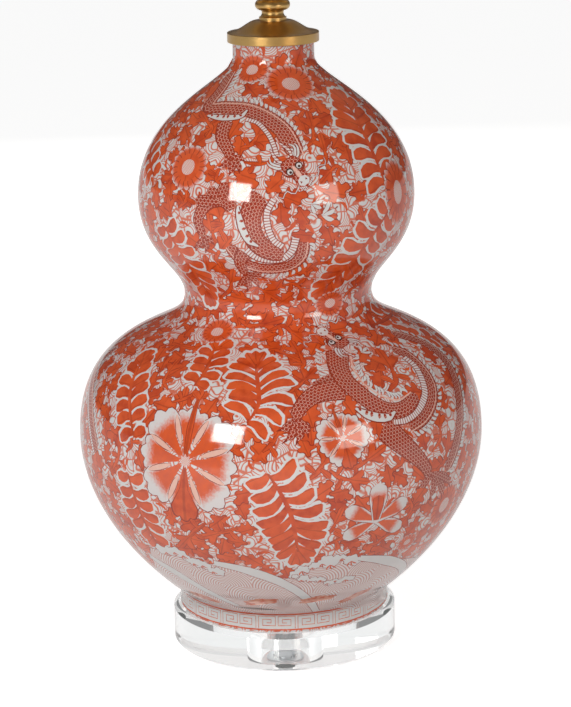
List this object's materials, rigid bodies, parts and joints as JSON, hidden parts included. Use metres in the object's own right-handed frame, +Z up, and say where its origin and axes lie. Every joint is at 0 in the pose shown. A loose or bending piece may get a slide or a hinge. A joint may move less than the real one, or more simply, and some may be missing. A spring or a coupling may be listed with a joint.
{
  "type": "table lamp",
  "caption": "Double gourd porcelain table lamp with iron red painting, on a clear acrylic disc, with harp, drum shade and turn-knob socket.",
  "frame": {"origin": "on the surface the lamp stands on, under the centre of the base", "axes": "+Z up along the lamp, front towards -Y, cord inlet at +Y"},
  "size_m": [0.4084, 0.4084, 0.7465],
  "materials": {
    "acrylic": "polished clear acrylic",
    "bumper": "clear soft polyurethane",
    "steel": "zinc plated",
    "black_rubber": "moulded",
    "porcelain": "high gloss glaze over iron red painting",
    "felt": "pressed felt",
    "brass": "satin lacquered",
    "brass_plate": "bright plated steel",
    "card": "fibre card",
    "phenolic": "moulded",
    "contact_brass": "bright",
    "knob": "moulded",
    "lead": "clear jacketed lead",
    "live_wire": "insulated wire",
    "neutral_wire": "insulated wire",
    "styrene": "styrene sheet",
    "linen": "plain linen",
    "trim": "folded linen tape"
  },
  "bodies": {
    "lamp": {"base_disc": "acrylic", "base_bumpers": "bumper", "base_washer": "steel", "lock_washer": "steel", "base_nut": "steel", "lamp_pipe": "steel", "floor_grommet": "black_rubber", "gourd_body": "porcelain", "neck_centring_ring": "steel", "cap_gasket": "felt", "vase_cap": "brass", "neck_spacer": "brass", "harp_saddle": "brass_plate", "saddle_nut": "steel", "socket_cap": "brass", "socket_set_screw": "steel", "socket_shell": "brass", "socket_liner": "card", "socket_body": "phenolic", "screw_shell": "contact_brass", "centre_contact": "contact_brass", "terminal_screws": "contact_brass", "supply_lead": "lead", "live_wire": "live_wire", "neutral_wire": "neutral_wire", "cord_bushing": "phenolic", "bushing_nut": "phenolic"},
    "harp": {"harp": "brass_plate", "harp_stud": "brass_plate"},
    "sleeve_left": {"harp_sleeve_left": "brass_plate"},
    "sleeve_right": {"harp_sleeve_right": "brass_plate"},
    "shade": {"shade_hub": "brass_plate", "shade_frame": "brass_plate", "shade_bottom_ring": "brass_plate", "shade_liner": "styrene", "shade_fabric": "linen", "shade_trim_top": "trim", "shade_trim_bottom": "trim"},
    "finial_bush": {"finial_insert": "brass"},
    "finial": {"finial_base": "brass", "finial_ball": "acrylic"},
    "switch": {"switch_stem": "steel", "switch_knob": "knob"}
  },
  "joints": [
    {"name": "switch_turn", "type": "hinge", "parent": "lamp", "child": "switch", "pos_m": [0, -0.02, 0.4764], "axis": [0, -1, 0], "continuous": true},
    {"name": "harp_lift", "type": "slide", "parent": "lamp", "child": "harp", "axis": [0, 0, 1], "range_m": [0, 0.025]},
    {"name": "sleeve_left_lift", "type": "slide", "parent": "harp", "child": "sleeve_left", "axis": [0, 0, 1], "range_m": [0, 0.018]},
    {"name": "sleeve_right_lift", "type": "slide", "parent": "harp", "child": "sleeve_right", "axis": [0, 0, 1], "range_m": [0, 0.018]},
    {"name": "shade_turn", "type": "hinge", "parent": "harp", "child": "shade", "pos_m": [0, 0, 0.7068], "axis": [0, 0, 1], "continuous": true},
    {"name": "finial_lift", "type": "slide", "parent": "harp", "child": "finial_bush", "axis": [0, 0, 1], "range_m": [0, 0.00471]},
    {"name": "finial_turn", "type": "hinge", "parent": "finial_bush", "child": "finial", "pos_m": [0, 0, 0.71], "axis": [0, 0, 1], "range_deg": [0, 1800]}
  ],
  "couplings": [
    {"joint": "finial_lift", "follows": "finial_turn", "m_per_rad": 0.00014972}
  ]
}
